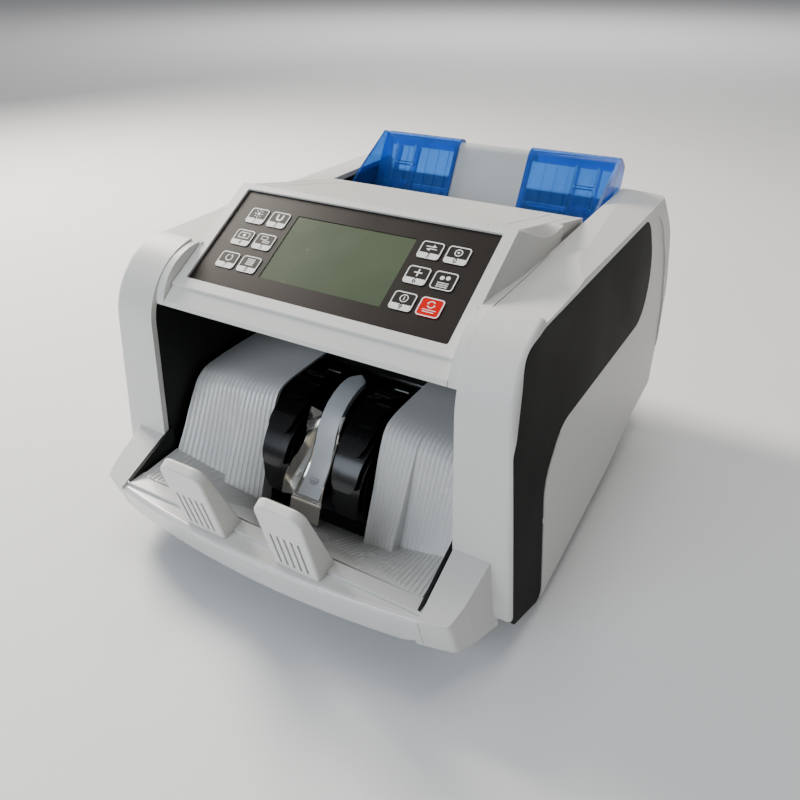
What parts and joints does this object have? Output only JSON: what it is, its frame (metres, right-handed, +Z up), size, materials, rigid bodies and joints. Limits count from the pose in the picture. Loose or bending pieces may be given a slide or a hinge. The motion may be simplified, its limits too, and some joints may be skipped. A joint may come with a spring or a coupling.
{
  "type": "banknote counting machine",
  "caption": "Desktop banknote counter: rear note hopper with sliding guides, sloping keypad and display, front stacker with bladed wheels and stops.",
  "frame": {"origin": "centre of the machine's footprint box, on the surface that it stands on", "axes": "+X to the operator's right, -Y towards the operator at the stacker, +Z up"},
  "size_m": [0.2738, 0.3572, 0.205],
  "materials": {
    "housing": "fine-textured matte moulding",
    "dark_insert": "matte textured",
    "black_plastic": "matte",
    "white_plastic": "satin, ribbed",
    "grey_plastic": "satin",
    "black_gloss": "glossy",
    "blue_clear": "clear tinted plastic",
    "film": "printed film",
    "key_film": "printed film",
    "key_red": "printed film",
    "lcd": "glossy glass",
    "steel": "ground",
    "stainless": "polished",
    "zinc_steel": "zinc plated",
    "alloy": "turned",
    "bronze": "sintered",
    "rubber": "matte",
    "motor_can": "plated",
    "board": "solder mask",
    "power_case": "laminated core",
    "pan": "powder coat"
  },
  "bodies": {
    "machine": {"left_side_cover": "housing", "right_side_cover": "housing", "head_housing": "housing", "rear_cover": "housing", "side_inserts": "dark_insert", "inner_walls": "black_plastic", "note_guides": "black_plastic", "stacker_plate_left": "white_plastic", "stacker_plate_right": "white_plastic", "stacker_tray": "white_plastic", "stop_posts": "housing", "centre_bracket": "stainless", "centre_finger": "grey_plastic", "retard_shoe": "rubber", "retard_bar": "steel", "sensor_bars": "black_plastic", "shaft_bushes": "bronze", "tie_rods": "steel", "side_frames": "zinc_steel", "motor": "motor_can", "drive_belts": "rubber", "main_board": "board", "power_supply": "power_case", "guide_rail": "steel", "hopper_back_plate": "grey_plastic", "hopper_floor": "black_plastic", "power_inlet": "black_plastic", "display_socket": "black_plastic", "lid_hinge_pins": "steel", "keypad_overlay": "film", "display_module": "lcd", "display_board": "board", "base_pan": "pan", "feet": "rubber", "screws": "zinc_steel"},
    "key_0": {"key_0": "key_film"},
    "key_1": {"key_1": "key_film"},
    "key_2": {"key_2": "key_film"},
    "key_3": {"key_3": "key_film"},
    "key_4": {"key_4": "key_film"},
    "key_5": {"key_5": "key_film"},
    "key_6": {"key_6": "key_film"},
    "key_7": {"key_7": "key_film"},
    "key_8": {"key_8": "key_film"},
    "key_9": {"key_9": "key_film"},
    "key_batch": {"key_batch": "key_film"},
    "key_start": {"key_start": "key_red"},
    "lid": {"head_top_lid": "housing"},
    "guide_left": {"hopper_guide_left": "blue_clear"},
    "guide_right": {"hopper_guide_right": "blue_clear"},
    "rocker": {"switch_rocker": "black_gloss"},
    "knob": {"gap_knob": "black_plastic"},
    "transport": {"transport_rollers": "steel"},
    "motor_spindle": {"motor_pulley": "alloy"},
    "feed": {"feed_rollers": "steel"},
    "pickup": {"pickup_rollers": "steel"},
    "impellers": {"impeller_shaft": "steel", "impeller_left": "black_gloss", "impeller_right": "black_gloss"},
    "pinch": {"pinch_rollers": "steel"}
  },
  "joints": [
    {"name": "key_0_press", "type": "slide", "parent": "machine", "child": "key_0", "axis": [0, 0.524, -0.8517], "range_m": [0, 0.0006], "stiffness_N_per_m": 900, "springref_m": -0.0004},
    {"name": "key_1_press", "type": "slide", "parent": "machine", "child": "key_1", "axis": [0, 0.524, -0.8517], "range_m": [0, 0.0006], "stiffness_N_per_m": 900, "springref_m": -0.0004},
    {"name": "key_2_press", "type": "slide", "parent": "machine", "child": "key_2", "axis": [0, 0.524, -0.8517], "range_m": [0, 0.0006], "stiffness_N_per_m": 900, "springref_m": -0.0004},
    {"name": "key_3_press", "type": "slide", "parent": "machine", "child": "key_3", "axis": [0, 0.524, -0.8517], "range_m": [0, 0.0006], "stiffness_N_per_m": 900, "springref_m": -0.0004},
    {"name": "key_4_press", "type": "slide", "parent": "machine", "child": "key_4", "axis": [0, 0.524, -0.8517], "range_m": [0, 0.0006], "stiffness_N_per_m": 900, "springref_m": -0.0004},
    {"name": "key_5_press", "type": "slide", "parent": "machine", "child": "key_5", "axis": [0, 0.524, -0.8517], "range_m": [0, 0.0006], "stiffness_N_per_m": 900, "springref_m": -0.0004},
    {"name": "key_6_press", "type": "slide", "parent": "machine", "child": "key_6", "axis": [0, 0.524, -0.8517], "range_m": [0, 0.0006], "stiffness_N_per_m": 900, "springref_m": -0.0004},
    {"name": "key_7_press", "type": "slide", "parent": "machine", "child": "key_7", "axis": [0, 0.524, -0.8517], "range_m": [0, 0.0006], "stiffness_N_per_m": 900, "springref_m": -0.0004},
    {"name": "key_8_press", "type": "slide", "parent": "machine", "child": "key_8", "axis": [0, 0.524, -0.8517], "range_m": [0, 0.0006], "stiffness_N_per_m": 900, "springref_m": -0.0004},
    {"name": "key_9_press", "type": "slide", "parent": "machine", "child": "key_9", "axis": [0, 0.524, -0.8517], "range_m": [0, 0.0006], "stiffness_N_per_m": 900, "springref_m": -0.0004},
    {"name": "key_batch_press", "type": "slide", "parent": "machine", "child": "key_batch", "axis": [0, 0.524, -0.8517], "range_m": [0, 0.0006], "stiffness_N_per_m": 900, "springref_m": -0.0004},
    {"name": "key_start_press", "type": "slide", "parent": "machine", "child": "key_start", "axis": [0, 0.524, -0.8517], "range_m": [0, 0.0006], "stiffness_N_per_m": 900, "springref_m": -0.0004},
    {"name": "lid_hinge", "type": "hinge", "parent": "machine", "child": "lid", "pos_m": [0, -0.0384, 0.1998], "axis": [1, 0, 0], "range_deg": [0, 48]},
    {"name": "guide_left_slide", "type": "slide", "parent": "machine", "child": "guide_left", "axis": [1, 0, 0], "range_m": [0, 0.026]},
    {"name": "guide_right_slide", "type": "slide", "parent": "machine", "child": "guide_right", "axis": [-1, 0, 0], "range_m": [0, 0.026]},
    {"name": "knob_turn", "type": "hinge", "parent": "machine", "child": "knob", "pos_m": [0.052, 0.1674, 0.0858], "axis": [0, 0.9333, -0.359], "range_deg": [-135, 135]},
    {"name": "transport_spin", "type": "hinge", "parent": "machine", "child": "transport", "pos_m": [0, 0.002, 0.088], "axis": [1, 0, 0], "continuous": true},
    {"name": "motor_spindle_spin", "type": "hinge", "parent": "machine", "child": "motor_spindle", "pos_m": [0, 0.104, 0.058], "axis": [1, 0, 0], "continuous": true},
    {"name": "feed_spin", "type": "hinge", "parent": "machine", "child": "feed", "pos_m": [0, 0.042, 0.104], "axis": [1, 0, 0], "continuous": true},
    {"name": "pickup_spin", "type": "hinge", "parent": "machine", "child": "pickup", "pos_m": [0, 0.072, 0.109], "axis": [1, 0, 0], "continuous": true},
    {"name": "impellers_spin", "type": "hinge", "parent": "machine", "child": "impellers", "pos_m": [0, -0.075, 0.058], "axis": [1, 0, 0], "continuous": true},
    {"name": "pinch_spin", "type": "hinge", "parent": "machine", "child": "pinch", "pos_m": [0, 0.002, 0.1114], "axis": [1, 0, 0], "continuous": true},
    {"name": "rocker_tilt", "type": "hinge", "parent": "machine", "child": "rocker", "pos_m": [-0.03, 0.1646, 0.08688], "axis": [1, 0, 0], "range_deg": [-8, 0]}
  ],
  "couplings": [
    {"joint": "motor_spindle_spin", "follows": "transport_spin", "ratio": 1.7857},
    {"joint": "feed_spin", "follows": "transport_spin", "ratio": 1},
    {"joint": "pickup_spin", "follows": "transport_spin", "ratio": 1},
    {"joint": "impellers_spin", "follows": "transport_spin", "ratio": 0.4},
    {"joint": "pinch_spin", "follows": "transport_spin", "ratio": -1.1539}
  ]
}
